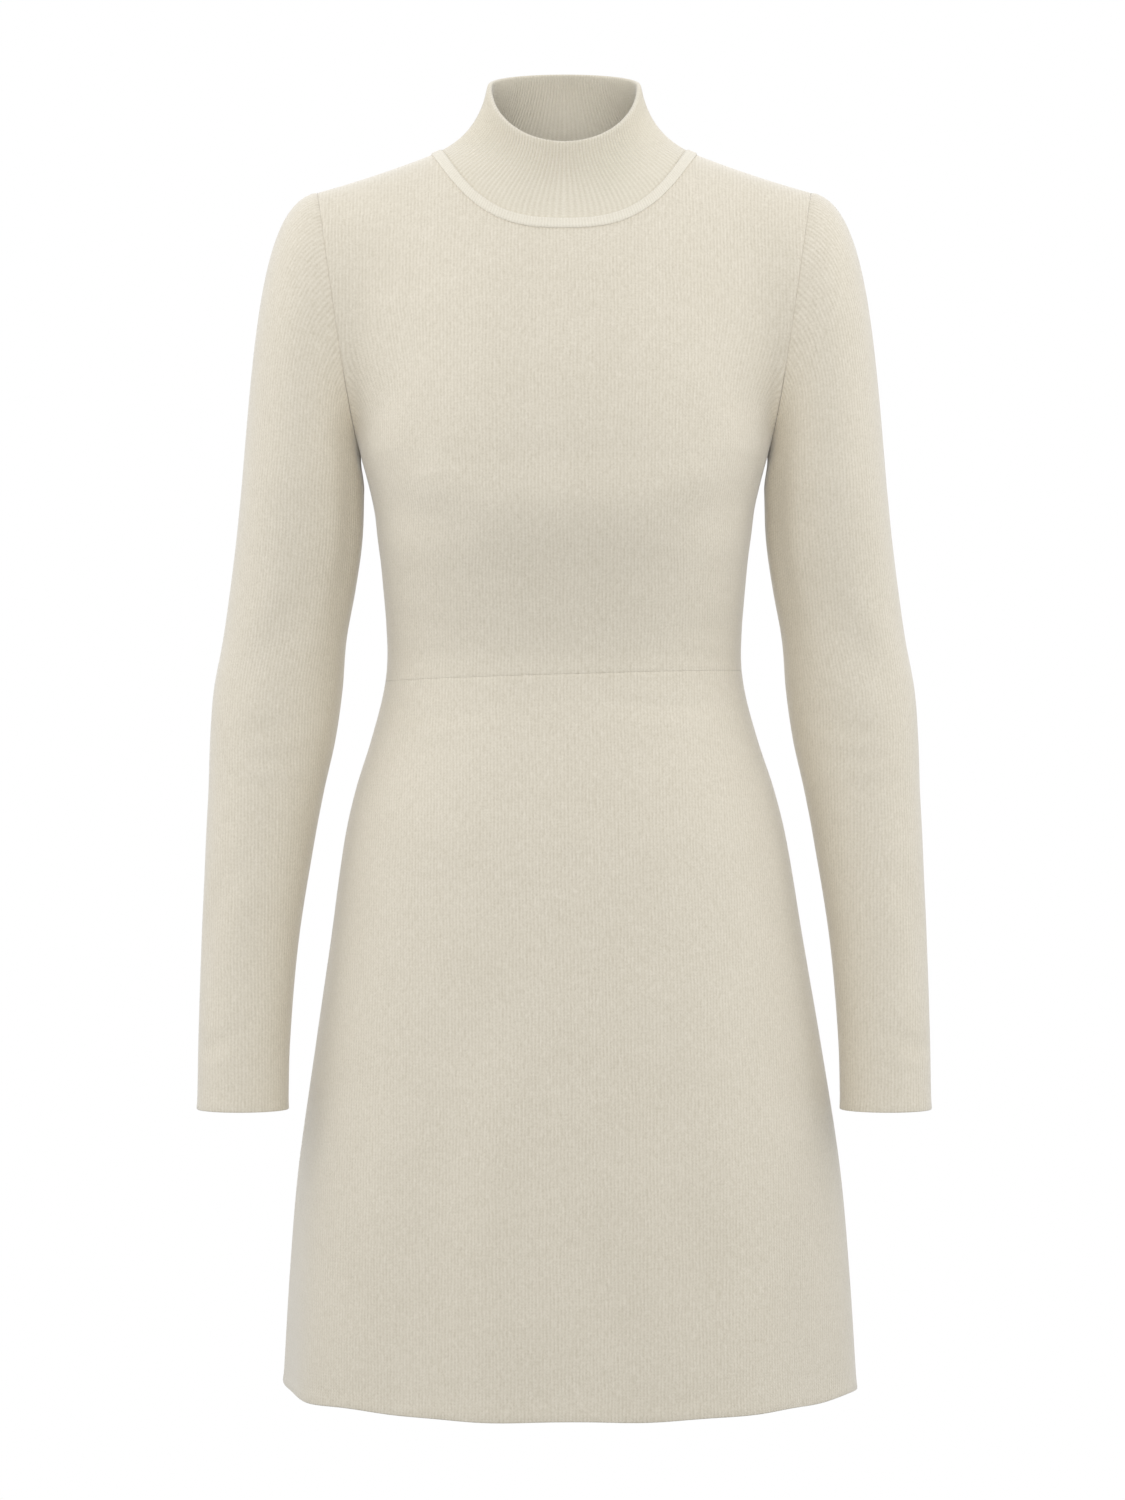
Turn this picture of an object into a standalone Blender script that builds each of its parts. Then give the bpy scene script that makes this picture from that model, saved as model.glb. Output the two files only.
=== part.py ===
"""Sweater dress: a knitted mini dress with a ribbed mock neck, filled out with no wearer.

The garment hangs as it does on a general figure, hollow, with its neck, cuffs and hem
open. X runs to the wearer's left, the front faces -Y and Z is up. The origin lies between
the two points where the shoulder seams meet the neck seam, where the wearer holds it up.

Every panel is first drawn as one sheet of points that it shares with its neighbours, and
is then given its own wall, pulled back from each seam.
"""
import math

import bmesh
import bpy
from mathutils import Vector

# ---- driving sizes, in metres -------------------------------------------------------

WALL = 0.0018            # single knit
COLLAR_WALL = 0.0030     # the collar is folded double
SEAM_GAP = 0.0003        # between sewn panels
TRIM_LIFT = 0.0010       # trim above the panel it lies on
TRIM_WIDTH = 0.0060
TRIM_HEIGHT = 0.0016

ARMPIT_Z = -0.2128
WAIST_Z = -0.3670
WAIST_TILT = 0.030       # the waist seam climbs this much per metre towards +X
HEM_Z = -0.8617
HEM_DIP = 0.0042         # the hem's front and back hang this much lower than its sides
SKIRT_SWAY = 0.0030      # the hem's middle lies this far towards +X

NECK_HALF = 0.0885       # neck seam: half width, then how far it reaches forward and back
NECK_FRONT = 0.0800
NECK_BACK = 0.0450
NECK_SQUARE = 2.45       # 2 would make the seam an ellipse from above
NECK_Y = 0.0050          # the shoulder seams lie this far behind the origin

SHOULDER_HALF = 0.1730   # shoulder tip, where the armhole seam is highest
SHOULDER_DROP = 0.0285
SHOULDER_CURVE = 0.20    # how much steeper the shoulder is at the neck

RIM_HALF = 0.0535        # collar rim: half width, half depth and middle
RIM_DEPTH = 0.0560
RIM_Y = -0.0040
RIM_Z = 0.0445           # rim height at the sides
RIM_TILT = 0.0315        # the rim climbs this much from side to back, and drops to the front
RIM_BOW = 0.0150         # and is this much lower front and back than a straight slant
RIM_ROUND = 0.12         # how softly the rim turns over at its sides

CREST_COUNT = 8          # soft flares round the skirt
CREST_HEIGHT = 0.0030    # their height at the hem
CREST_TURN = math.radians(11.25)   # how far the flares are turned round, towards -X in front

# How a column of the upper body sets off from the armpit's height, and how it comes over
# the shoulder: in the middle of the panel, then beside the armhole.
FRONT_RISE = ((0.002, 0.002, 0.075), (0.008, -0.062, 0.024))
FRONT_OVER = ((0.000, 0.066, 0.003), (0.005, 0.058, 0.014))
BACK_RISE = ((0.002, 0.004, 0.080), (0.006, 0.062, 0.024))
BACK_OVER = ((0.000, -0.070, 0.003), (0.005, -0.062, 0.014))
ARM_SIDE = 6             # a high power keeps the second shape close to the armhole

# How the sleeve head leaves the armhole and comes down into the arm: everywhere, then the
# more of it towards the outside and towards the front and back.
CAP_LEAVE = ((0.001, 0.0, -0.006), (0.038, 0.0, 0.0), (0.0, 0.004, -0.012))
CAP_ARRIVE = ((0.0, 0.0, -0.008), (0.009, 0.0, -0.098), (0.0, 0.0, -0.010))

# How the collar leaves the neck seam and how it comes up to the rim: sideways, front to
# back and upwards, then how much flatter it leaves at the sides.
COLLAR_LEAVE = (-0.0185, 0.008, 0.019)
COLLAR_SIDE = 0.0095
COLLAR_ARRIVE = (0.003, -0.003, -0.022)

# Trim section: shares of its width out from the seam, and of its height off the panel.
TRIM_SECTION = ((0.1, 0.0), (1.0, 0.0), (1.0, 0.7), (0.55, 1.0), (0.1, 0.8))

# height, half width, reach forward, reach back, squareness of the section
BODY = (
    (ARMPIT_Z, 0.1420, 0.1190, 0.0960, 2.35),
    (-0.2541, 0.1323, 0.1200, 0.0930, 2.35),
    (-0.3066, 0.1264, 0.1050, 0.0840, 2.30),
    (-0.3507, 0.1236, 0.0950, 0.0790, 2.20),
    (-0.3766, 0.1260, 0.0960, 0.0820, 2.20),
    (-0.4116, 0.1351, 0.1030, 0.0920, 2.20),
    (-0.4466, 0.1463, 0.1100, 0.1030, 2.20),
    (-0.4816, 0.1544, 0.1160, 0.1130, 2.20),
    (-0.5516, 0.1650, 0.1240, 0.1270, 2.20),
    (-0.6216, 0.1760, 0.1310, 0.1350, 2.20),
    (-0.7091, 0.1887, 0.1390, 0.1430, 2.20),
    (-0.7791, 0.1946, 0.1440, 0.1480, 2.20),
    (HEM_Z, 0.1992, 0.1490, 0.1530, 2.20),
)

# height, middle across, half width, middle front to back, half depth
ARM = (
    (-0.2366, 0.1829, 0.0429, 0.000, 0.0520),
    (-0.2716, 0.1854, 0.0440, 0.001, 0.0500),
    (-0.3066, 0.1901, 0.0438, 0.003, 0.0480),
    (-0.3416, 0.1958, 0.0432, 0.004, 0.0465),
    (-0.3766, 0.2004, 0.0450, 0.004, 0.0465),
    (-0.4116, 0.2041, 0.0438, 0.002, 0.0455),
    (-0.4466, 0.2083, 0.0404, -0.002, 0.0430),
    (-0.4816, 0.2122, 0.0379, -0.007, 0.0405),
    (-0.5508, 0.2183, 0.0336, -0.018, 0.0360),
    (-0.6196, 0.2217, 0.0317, -0.029, 0.0325),
    (-0.6660, 0.2223, 0.0315, -0.036, 0.0315),
)

# ---- how finely each stretch is drawn -----------------------------------------------

NECK_COLUMNS = 12        # across the front of the neck seam, and again across the back
SHOULDER_COLUMNS = 4     # along one shoulder seam
NECK_SHARE = NECK_HALF / SHOULDER_HALF   # of a panel's columns, those that meet the neck
YOKE_ROWS = 9            # armpit to shoulder, and so half the columns of a sleeve
BODICE_ROWS = 5          # waist to armpit
SKIRT_ROWS = 12
CAP_ROWS = 5             # sleeve head
SLEEVE_ROWS = 12
COLLAR_ROWS = 5
TRIM_COLUMNS = 60

FRONT, BACK = -1, 1
MERGE = 1e-5
FOLD = 0.2               # two panels that face further apart than this lie back to back

# ---- the yarn -----------------------------------------------------------------------

CREAM = (0.72, 0.68, 0.58, 1.0)
COLLAR_CREAM = (0.76, 0.72, 0.62, 1.0)
TRIM_CREAM = (0.82, 0.79, 0.69, 1.0)
YARN_ROUGHNESS = 0.9
SHARP_ANGLE = math.radians(50)   # sharper corners than this are shaded as edges


# ---- curves -------------------------------------------------------------------------

def station(table, z):
    """The sizes in a table at height z, on a smooth curve through its rows."""
    rows = sorted(table)
    z = min(max(z, rows[0][0]), rows[-1][0])
    k = next(i for i in range(len(rows) - 1) if z <= rows[i + 1][0])
    low, high = rows[k], rows[k + 1]
    before, after = rows[max(k - 1, 0)], rows[min(k + 2, len(rows) - 1)]
    span = high[0] - low[0]
    t = (z - low[0]) / span
    values = []
    for i in range(1, len(low)):
        slope_low = (high[i] - before[i]) / (high[0] - before[0]) * span
        slope_high = (after[i] - low[i]) / (after[0] - low[0]) * span
        values.append((2 * t**3 - 3 * t**2 + 1) * low[i] + (t**3 - 2 * t**2 + t) * slope_low
                      + (3 * t**2 - 2 * t**3) * high[i] + (t**3 - t**2) * slope_high)
    return values


def bezier(p0, p1, p2, p3, t):
    s = 1 - t
    return p0 * s**3 + p1 * (3 * s * s * t) + p2 * (3 * s * t * t) + p3 * t**3


def signed_power(value, power):
    return math.copysign(abs(value)**power, value)


def smooth(value):
    value = min(max(value, 0.0), 1.0)
    return value * value * (3 - 2 * value)


# ---- body ---------------------------------------------------------------------------

def body_point(side, c, z):
    """Point of the body at height z; c runs -1 to 1 across the front or the back."""
    half, front, back, square = station(BODY, z)
    turn = math.radians(90) * c
    down = min(max((WAIST_Z - z) / (WAIST_Z - HEM_Z), 0.0), 1.0)
    angle = turn if side == FRONT else math.pi - turn
    crest = CREST_HEIGHT * down**2 * math.cos(CREST_COUNT * (angle + CREST_TURN))
    grow = 1 + crest / half
    x = half * signed_power(math.sin(turn), 2 / square) * grow
    reach = front if side == FRONT else back
    y = side * reach * abs(math.cos(turn))**(2 / square) * grow
    return Vector((x + SKIRT_SWAY * smooth(down * 1.5), y, z))


def ridge_point(x):
    """Point of the line over the shoulders; inside the neck seam it arches across."""
    along = (abs(x) - NECK_HALF) / (SHOULDER_HALF - NECK_HALF)
    if along >= 0:
        z = -SHOULDER_DROP * along * (1 + SHOULDER_CURVE - SHOULDER_CURVE * along)
        return Vector((x, NECK_Y * (1 - along), z))
    slope = SHOULDER_DROP * (1 + SHOULDER_CURVE) / (SHOULDER_HALF - NECK_HALF)
    return Vector((x, NECK_Y, slope * NECK_HALF / 2 * (1 - (x / NECK_HALF)**2)))


def arch_point(side, c, v):
    """Point of the upper body; v runs 0 at the armpit's height to 1 over the shoulder."""
    foot = body_point(side, c, ARMPIT_Z)
    head = ridge_point(SHOULDER_HALF * c)
    rises, overs = (FRONT_RISE, FRONT_OVER) if side == FRONT else (BACK_RISE, BACK_OVER)
    rise = Vector(rises[0]).lerp(Vector(rises[1]), abs(c)**ARM_SIDE)
    over = Vector(overs[0]).lerp(Vector(overs[1]), abs(c)**ARM_SIDE)
    rise.x *= c
    over.x *= c
    return bezier(foot, foot + rise, head - over, head, v)


def neck_share(side, c, grow=0.0):
    """How far up column c the neck seam crosses it; grow widens the seam's outline."""
    reach = (NECK_FRONT if side == FRONT else NECK_BACK) + grow
    if abs(c) * SHOULDER_HALF > NECK_HALF + grow - MERGE:
        return 1.0
    low, high = 0.0, 1.0
    for _ in range(40):
        middle = (low + high) / 2
        point = arch_point(side, c, middle)
        out = abs(point.x / (NECK_HALF + grow))**NECK_SQUARE + abs((point.y - NECK_Y) / reach)**2
        if out > 1:
            low = middle
        else:
            high = middle
    return high


def neck_point(angle, grow=0.0):
    """Point of the neck seam; angle 0 is the front, 90 degrees the shoulder at +X."""
    side = FRONT if math.cos(angle) > 0 else BACK
    c = (NECK_HALF + grow) * math.sin(angle) / SHOULDER_HALF
    return arch_point(side, c, neck_share(side, c, grow))


def yoke_point(side, c, v):
    """Point of the bodice above the armpits; v runs 0 at the armpit to 1 at the top."""
    if abs(c) < NECK_SHARE:
        v *= neck_share(side, c)
    return arch_point(side, c, v)


def waist_height(x):
    return WAIST_Z + WAIST_TILT * x


def columns():
    """Places of the columns across a panel, -1 to 1, with one on each neck point."""
    shoulder = [1 - (1 - NECK_SHARE) * i / SHOULDER_COLUMNS for i in range(SHOULDER_COLUMNS)]
    quarter = math.radians(90)
    turns = [quarter * (2 * i / NECK_COLUMNS - 1) for i in range(NECK_COLUMNS + 1)]
    neck = [NECK_SHARE * math.sin(turn) for turn in turns]
    return [-c for c in shoulder] + neck + shoulder[::-1]


def bodice_grid(side):
    across = columns()
    rows = []
    for k in range(BODICE_ROWS):
        row = []
        for c in across:
            waist = waist_height(body_point(side, c, WAIST_Z).x)
            row.append(body_point(side, c, waist + (ARMPIT_Z - waist) * k / BODICE_ROWS))
        rows.append(row)
    for k in range(YOKE_ROWS + 1):
        rows.append([yoke_point(side, c, k / YOKE_ROWS) for c in across])
    return rows


def skirt_grid(side):
    rows = []
    for k in range(SKIRT_ROWS + 1):
        row = []
        for c in columns():
            waist = waist_height(body_point(side, c, WAIST_Z).x)
            hem = HEM_Z - HEM_DIP * math.cos(math.radians(90) * c)**2
            row.append(body_point(side, c, hem + (waist - hem) * k / SKIRT_ROWS))
        rows.append(row)
    return rows


# ---- sleeve -------------------------------------------------------------------------

def arm_point(hand, turn, z):
    """Point of the sleeve; turn is 0 outside, 90 degrees in front, 180 under the arm."""
    middle, half, y, depth = station(ARM, z)
    return Vector((hand * (middle + half * math.cos(turn)), y - depth * math.sin(turn), z))


def cap_point(hand, turn, start, t):
    """Point of the sleeve head, from the armhole point start down to the first ring."""
    end = arm_point(hand, turn, ARM[0][0])
    shares = (1, (1 + math.cos(turn)) / 2, abs(math.sin(turn)))
    leave, arrive = Vector((0, 0, 0)), Vector((0, 0, 0))
    for share, out, into in zip(shares, CAP_LEAVE, CAP_ARRIVE):
        leave += Vector(out) * share
        arrive += Vector(into) * share
    leave.x *= hand
    leave.y = math.copysign(leave.y, -math.sin(turn))
    arrive.x *= hand
    return bezier(start, start + leave, end - arrive, end, t)


def sleeve_grid(hand):
    """Rings from armhole to cuff; each starts at the armpit and runs up the front."""
    steps = [k / YOKE_ROWS for k in range(YOKE_ROWS + 1)]
    hole = [(math.pi * (1 - v), yoke_point(FRONT, hand, v)) for v in steps]
    hole += [(math.pi * (1 + v), yoke_point(BACK, hand, v)) for v in steps[-2::-1]]
    rows = []
    for k in range(CAP_ROWS):
        rows.append([cap_point(hand, turn, start, k / CAP_ROWS) for turn, start in hole])
    top, cuff = ARM[0][0], ARM[-1][0]
    for k in range(SLEEVE_ROWS + 1):
        z = top + (cuff - top) * k / SLEEVE_ROWS
        rows.append([arm_point(hand, turn, z) for turn, start in hole])
    return rows


# ---- collar -------------------------------------------------------------------------

def rim_point(angle):
    c = math.cos(angle)
    bow = (math.hypot(c, RIM_ROUND) - RIM_ROUND) / (math.hypot(1, RIM_ROUND) - RIM_ROUND)
    return Vector((RIM_HALF * math.sin(angle), RIM_Y - RIM_DEPTH * c,
                   RIM_Z - RIM_TILT * c - RIM_BOW * bow))


def collar_point(angle, t):
    """Point of the collar; it leaves the neck seam almost flat and turns up to the rim."""
    seam, rim = neck_point(angle), rim_point(angle)
    s, c = math.sin(angle), math.cos(angle)
    across, along = s * abs(s), c * abs(c)
    leave = Vector((COLLAR_LEAVE[0] * across, COLLAR_LEAVE[1] * along,
                    COLLAR_LEAVE[2] - COLLAR_SIDE * s * s))
    arrive = Vector((COLLAR_ARRIVE[0] * across, COLLAR_ARRIVE[1] * along, COLLAR_ARRIVE[2]))
    return bezier(seam, seam + leave, rim + arrive, rim, t)


def collar_grid():
    quarter = math.radians(90)
    angles = [quarter * (2 * i / NECK_COLUMNS - 1) for i in range(2 * NECK_COLUMNS + 1)]
    return [[collar_point(a, k / COLLAR_ROWS) for a in angles] for k in range(COLLAR_ROWS + 1)]


# ---- one sheet, then one wall for each panel ----------------------------------------

def add_grid(sheet, rows, panel, label, flip):
    verts = [[sheet.verts.new(p) for p in row] for row in rows]
    for low, high in zip(verts, verts[1:]):
        for i in range(len(low) - 1):
            ring = [low[i], low[i + 1], high[i + 1], high[i]]
            if flip:
                ring.reverse()
            sheet.faces.new(ring)[label] = panel


def clean_sheet(sheet):
    """Join the shared points, and drop what a row that meets in a corner leaves empty."""
    bmesh.ops.remove_doubles(sheet, verts=sheet.verts[:], dist=MERGE)
    bmesh.ops.triangulate(sheet, faces=sheet.faces[:], quad_method="SHORT_EDGE")
    sheet.normal_update()
    sheet.verts.index_update()
    sheet.faces.index_update()


def inward_step(edge, panel_faces, normal):
    """Unit step from a panel's edge into the panel, along its surface."""
    face = next(f for f in edge.link_faces if f in panel_faces)
    ends = [v.co for v in edge.verts]
    run = (ends[1] - ends[0]).normalized()
    step = face.calc_center_median() - (ends[0] + ends[1]) / 2
    step -= run * step.dot(run)
    step -= normal * step.dot(normal)
    return step.normalized()


def side_normal(link_faces, label, panel):
    """Which way one panel faces at a point that it may share with others."""
    own = Vector((0, 0, 0))
    for f in link_faces:
        if f[label] == panel:
            own += f.normal * f.calc_area()
    return own.normalized()


def panel_wall(sheet, label, panel, wall):
    """Closed wall of one panel: its outer points, and the same moved in by the wall."""
    faces = {f for f in sheet.faces if f[label] == panel}
    verts = {v for f in faces for v in f.verts}
    outer, inner = {}, {}
    built = bmesh.new()
    for v in sorted(verts, key=lambda v: v.index):
        own = side_normal(v.link_faces, label, panel)
        shared = Vector((0, 0, 0))
        for other in sorted({f[label] for f in v.link_faces}):
            facing = side_normal(v.link_faces, label, other)
            if own.dot(facing) > FOLD:
                shared += facing
        shared.normalize()
        steps = []
        for edge in v.link_edges:
            inside = sum(f in faces for f in edge.link_faces)
            if inside == 1 and len(edge.link_faces) == 2:
                steps.append(inward_step(edge, faces, shared))
        shift = Vector((0, 0, 0))
        if len(steps) == 1:
            shift = steps[0] * SEAM_GAP / 2
        elif len(steps) == 2:
            shift = (steps[0] + steps[1]) * (SEAM_GAP / 2 / (1 + steps[0].dot(steps[1])))
        outer[v] = built.verts.new(v.co + shift)
        inner[v] = built.verts.new(v.co + shift - shared * (wall / own.dot(shared)))
    for f in sorted(faces, key=lambda f: f.index):
        ring = list(f.verts)
        built.faces.new([outer[v] for v in ring])
        built.faces.new([inner[v] for v in reversed(ring)])
        for edge, a, b in zip(f.edges, ring, ring[1:] + ring[:1]):
            if sum(g in faces for g in edge.link_faces) > 1:
                continue
            if a.index < b.index:
                built.faces.new([outer[b], outer[a], inner[b]])
                built.faces.new([outer[a], inner[a], inner[b]])
            else:
                built.faces.new([outer[b], outer[a], inner[a]])
                built.faces.new([outer[b], inner[a], inner[b]])
    return built


def trim_wall():
    """The linked band: a closed ring of soft rectangular section along the neck seam."""
    band = bmesh.new()
    rings = []
    step = 2 * math.pi / TRIM_COLUMNS
    for i in range(TRIM_COLUMNS):
        seam = neck_point(i * step)
        run = neck_point((i + 0.5) * step) - neck_point((i - 0.5) * step)
        away = neck_point(i * step, TRIM_WIDTH) - seam
        normal = run.cross(-away).normalized()
        away = (away - run * (away.dot(run) / run.length_squared)).normalized()
        ring = []
        for share, height in TRIM_SECTION:
            spot = seam + away * (share * TRIM_WIDTH)
            ring.append(band.verts.new(spot + normal * (TRIM_LIFT + height * TRIM_HEIGHT)))
        rings.append(ring)
    for ring, after in zip(rings, rings[1:] + rings[:1]):
        for a, b, c, d in zip(ring, ring[1:] + ring[:1], after[1:] + after[:1], after):
            band.faces.new([a, b, c, d])
    bmesh.ops.recalc_face_normals(band, faces=band.faces[:])
    return band


# ---- objects ------------------------------------------------------------------------

def knit(name, colour):
    material = bpy.data.materials.new(name)
    material.use_nodes = True
    shader = material.node_tree.nodes["Principled BSDF"]
    shader.inputs["Base Color"].default_value = colour
    shader.inputs["Roughness"].default_value = YARN_ROUGHNESS
    shader.inputs["Metallic"].default_value = 0.0
    return material


def add_object(name, built, material):
    mesh = bpy.data.meshes.new(name)
    built.to_mesh(mesh)
    built.free()
    mesh.shade_smooth()
    mesh.set_sharp_from_angle(angle=SHARP_ANGLE)
    mesh.materials.append(material)
    piece = bpy.data.objects.new(name, mesh)
    bpy.context.scene.collection.objects.link(piece)
    return piece


def main():
    for old in list(bpy.data.objects):
        bpy.data.objects.remove(old, do_unlink=True)

    names = ("bodice_front", "bodice_back", "skirt_front", "skirt_back",
             "sleeve_left", "sleeve_right", "collar")
    grids = (bodice_grid(FRONT), bodice_grid(BACK), skirt_grid(FRONT), skirt_grid(BACK),
             sleeve_grid(1), sleeve_grid(-1), collar_grid())
    flips = (False, True, False, True, True, False, False)

    sheet = bmesh.new()
    label = sheet.faces.layers.int.new("panel")
    for panel, (rows, flip) in enumerate(zip(grids, flips)):
        add_grid(sheet, rows, panel, label, flip)
    clean_sheet(sheet)

    for panel, name in enumerate(names):
        is_collar = name == "collar"
        built = panel_wall(sheet, label, panel, COLLAR_WALL if is_collar else WALL)
        colour = COLLAR_CREAM if is_collar else CREAM
        add_object(name, built, knit("knit_" + name, colour))

    add_object("neck_trim", trim_wall(), knit("knit_neck_trim", TRIM_CREAM))
    sheet.free()


main()
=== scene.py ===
import math

import bpy
import numpy as np
from bpy.props import FloatProperty, FloatVectorProperty, IntProperty, PointerProperty
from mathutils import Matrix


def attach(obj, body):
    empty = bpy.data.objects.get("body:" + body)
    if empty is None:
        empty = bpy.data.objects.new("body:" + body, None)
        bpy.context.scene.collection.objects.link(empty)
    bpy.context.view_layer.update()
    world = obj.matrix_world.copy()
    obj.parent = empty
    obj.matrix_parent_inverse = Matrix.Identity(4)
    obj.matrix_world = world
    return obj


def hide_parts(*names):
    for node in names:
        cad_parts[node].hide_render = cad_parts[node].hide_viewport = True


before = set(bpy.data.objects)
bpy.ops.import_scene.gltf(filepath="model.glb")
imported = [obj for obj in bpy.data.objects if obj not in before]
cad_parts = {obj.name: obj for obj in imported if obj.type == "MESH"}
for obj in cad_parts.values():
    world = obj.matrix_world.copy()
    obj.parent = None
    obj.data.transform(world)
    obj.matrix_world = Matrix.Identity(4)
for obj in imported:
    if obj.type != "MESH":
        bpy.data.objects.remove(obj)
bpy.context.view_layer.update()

bl_info = {
    "name": "Sweater dress",
    "version": (1, 0, 0),
    "blender": (4, 5, 0),
    "location": "View3D > Sidebar > Dress",
    "description": "Builds a knitted mini dress, panel by panel, filled out with no wearer",
    "category": "Object",
}

FRONT, BACK = -1, 1
LEFT, RIGHT = 1, -1      # the wearer's own sides; left is +X

# ---- the stage, in metres and watts -------------------------------------------------

FLOOR_Z = -1.30
FLOOR_RADIUS = 1.9
CAMERA_AWAY = 3.0
CAMERA_X = -0.0012
CAMERA_Z = -0.4186
VIEW_HEIGHT = 1.05       # how much the view takes in at the dress
SENSOR = 36.0            # in millimetres
WORLD_LIGHT = 0.74       # what the white backdrop gives, as a share of what it shows
# name, place, what it points at, width and height, power
LIGHTS = (
    ("key", (0.0, -1.1, 0.7), (0.0, 0.0, -0.10), (1.4, 0.8), 0.4),
    ("over", (0.0, -0.1, 1.5), (0.0, 0.0, 0.0), (2.0, 1.6), 4.0),
    ("front", (0.0, -3.4, 0.0), (0.0, 0.0, -0.40), (2.6, 2.6), 23.0),
    ("low", (0.0, -2.0, -1.15), (0.0, 0.0, -0.33), (1.4, 0.5), 1.6),
    ("side_left", (1.7, 0.1, 0.2), (0.0, 0.0, -0.35), (0.9, 1.6), 7.5),
    ("side_right", (-1.7, 0.1, 0.2), (0.0, 0.0, -0.35), (0.9, 1.6), 7.5),
    ("back", (0.0, 1.7, 1.0), (0.0, 0.0, -0.25), (1.8, 1.2), 6.0),
)

# ---- the pattern, in metres ---------------------------------------------------------
# The same curves that the frame's panels were cut from, from the neck seam's points on
# the shoulders down.

ARMPIT_Z = -0.2128
WAIST_Z = -0.3670
WAIST_TILT = 0.030       # rise of the waist seam for each metre towards the left
HEM_Z = -0.8617
HEM_DIP = 0.0042
SKIRT_SWAY = 0.0030      # how far the skirt hangs to the left
NECK_HALF = 0.0885
NECK_FRONT = 0.0800
NECK_BACK = 0.0450
NECK_SQUARE = 2.45       # 2 is an ellipse, more is squarer
NECK_Y = 0.0050
SHOULDER_HALF = 0.1730
SHOULDER_DROP = 0.0285
SHOULDER_CURVE = 0.20    # how much steeper the shoulder is near the neck
NECK_SHARE = NECK_HALF / SHOULDER_HALF
RIM_HALF = 0.0535
RIM_DEPTH = 0.0560
RIM_Y = -0.0040
RIM_Z = 0.0445
RIM_TILT = 0.0315
RIM_BOW = 0.0150
RIM_ROUND = 0.12
CREST_COUNT = 8          # soft folds round the hem
CREST_HEIGHT = 0.0030
CREST_TURN = math.radians(11.25)

# how curves leave and reach their ends: across, forward or back, and up
FRONT_RISE = ((0.002, 0.002, 0.075), (0.008, -0.062, 0.024))
FRONT_OVER = ((0.000, 0.066, 0.003), (0.005, 0.058, 0.014))
BACK_RISE = ((0.002, 0.004, 0.080), (0.006, 0.062, 0.024))
BACK_OVER = ((0.000, -0.070, 0.003), (0.005, -0.062, 0.014))
ARM_SIDE = 6             # the higher, the fewer columns take the armhole's curve
CAP_LEAVE = ((0.001, 0.0, -0.006), (0.038, 0.0, 0.0), (0.0, 0.004, -0.012))
CAP_ARRIVE = ((0.0, 0.0, -0.008), (0.009, 0.0, -0.098), (0.0, 0.0, -0.010))
COLLAR_LEAVE = (-0.0185, 0.008, 0.019)
COLLAR_SIDE = 0.0095
COLLAR_ARRIVE = (0.003, -0.003, -0.022)

# height, half width, reach forward, reach back, squareness of the section
BODY = (
    (ARMPIT_Z, 0.1420, 0.1190, 0.0960, 2.35),
    (-0.2541, 0.1323, 0.1200, 0.0930, 2.35),
    (-0.3066, 0.1264, 0.1050, 0.0840, 2.30),
    (-0.3507, 0.1236, 0.0950, 0.0790, 2.20),
    (-0.3766, 0.1260, 0.0960, 0.0820, 2.20),
    (-0.4116, 0.1351, 0.1030, 0.0920, 2.20),
    (-0.4466, 0.1463, 0.1100, 0.1030, 2.20),
    (-0.4816, 0.1544, 0.1160, 0.1130, 2.20),
    (-0.5516, 0.1650, 0.1240, 0.1270, 2.20),
    (-0.6216, 0.1760, 0.1310, 0.1350, 2.20),
    (-0.7091, 0.1887, 0.1390, 0.1430, 2.20),
    (-0.7791, 0.1946, 0.1440, 0.1480, 2.20),
    (HEM_Z, 0.1992, 0.1490, 0.1530, 2.20),
)

# height, middle across, half width, middle front to back, half depth
ARM = (
    (-0.2366, 0.1829, 0.0429, 0.000, 0.0520),
    (-0.2716, 0.1854, 0.0440, 0.001, 0.0500),
    (-0.3066, 0.1901, 0.0438, 0.003, 0.0480),
    (-0.3416, 0.1958, 0.0432, 0.004, 0.0465),
    (-0.3766, 0.2004, 0.0450, 0.004, 0.0465),
    (-0.4116, 0.2041, 0.0438, 0.002, 0.0455),
    (-0.4466, 0.2083, 0.0404, -0.002, 0.0430),
    (-0.4816, 0.2122, 0.0379, -0.007, 0.0405),
    (-0.5508, 0.2183, 0.0336, -0.018, 0.0360),
    (-0.6196, 0.2217, 0.0317, -0.029, 0.0325),
    (-0.6660, 0.2223, 0.0315, -0.036, 0.0315),
)
CUFF_Z = ARM[-1][0]

# ---- the cloth's grid ---------------------------------------------------------------

BESIDE_SEAM = (0.0004, 0.0009, 0.0015, 0.0023, 0.0034)   # the first rows off a seam
WAIST_TO_ARMPIT = 0.150
ARMPIT_TO_SHOULDER = 0.215
WAIST_TO_HEM = 0.497
SLEEVE_HEAD = 0.090
SLEEVE_LENGTH = 0.430
COLLAR_RISE = 0.075
ROW_STEP = 0.0042
SKIRT_STEP = 0.0046
HEAD_STEP = 0.0038
COLLAR_STEP = 0.0020
NECK_STEPS = 150         # columns across the front of the neck seam
SIDE_STEPS = 36          # columns from the neck to the armhole
SEWN_WITHIN = 0.00005    # edge points as near as this are sewn together

# ---- making up ----------------------------------------------------------------------

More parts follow.
